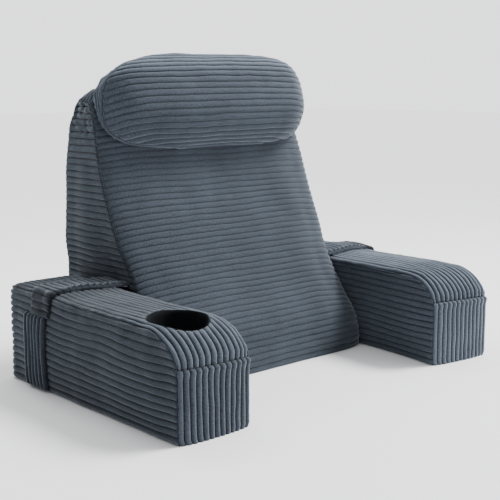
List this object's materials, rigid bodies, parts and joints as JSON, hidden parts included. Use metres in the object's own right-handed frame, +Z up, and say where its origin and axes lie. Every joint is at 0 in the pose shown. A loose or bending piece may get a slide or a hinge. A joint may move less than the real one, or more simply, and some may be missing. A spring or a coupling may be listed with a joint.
{
  "type": "reading pillow with arms",
  "caption": "Corduroy reading pillow: a wedge backrest between two arms, with a neck roll, straps over the arms and a cup pocket in one arm.",
  "frame": {"origin": "on the floor, under the middle of the whole pillow", "axes": "+X to the sitter's left, which is the right of the picture's view from the front, +Y towards the rear, +Z up; the front faces -Y"},
  "size_m": [0.7508, 0.4926, 0.5431],
  "materials": {
    "corduroy": "slate blue wide-wale plush corduroy",
    "strap": "the same corduroy, a little darker",
    "lining": "near-black plain cloth"
  },
  "bodies": {
    "root": {"backrest": "corduroy", "neck_roll": "corduroy", "arm_left": "corduroy", "arm_right": "corduroy", "cup_lining": "lining", "strap_over_left": "strap", "strap_over_right": "strap", "strap_up_left": "strap", "strap_up_right": "strap"}
  },
  "joints": []
}
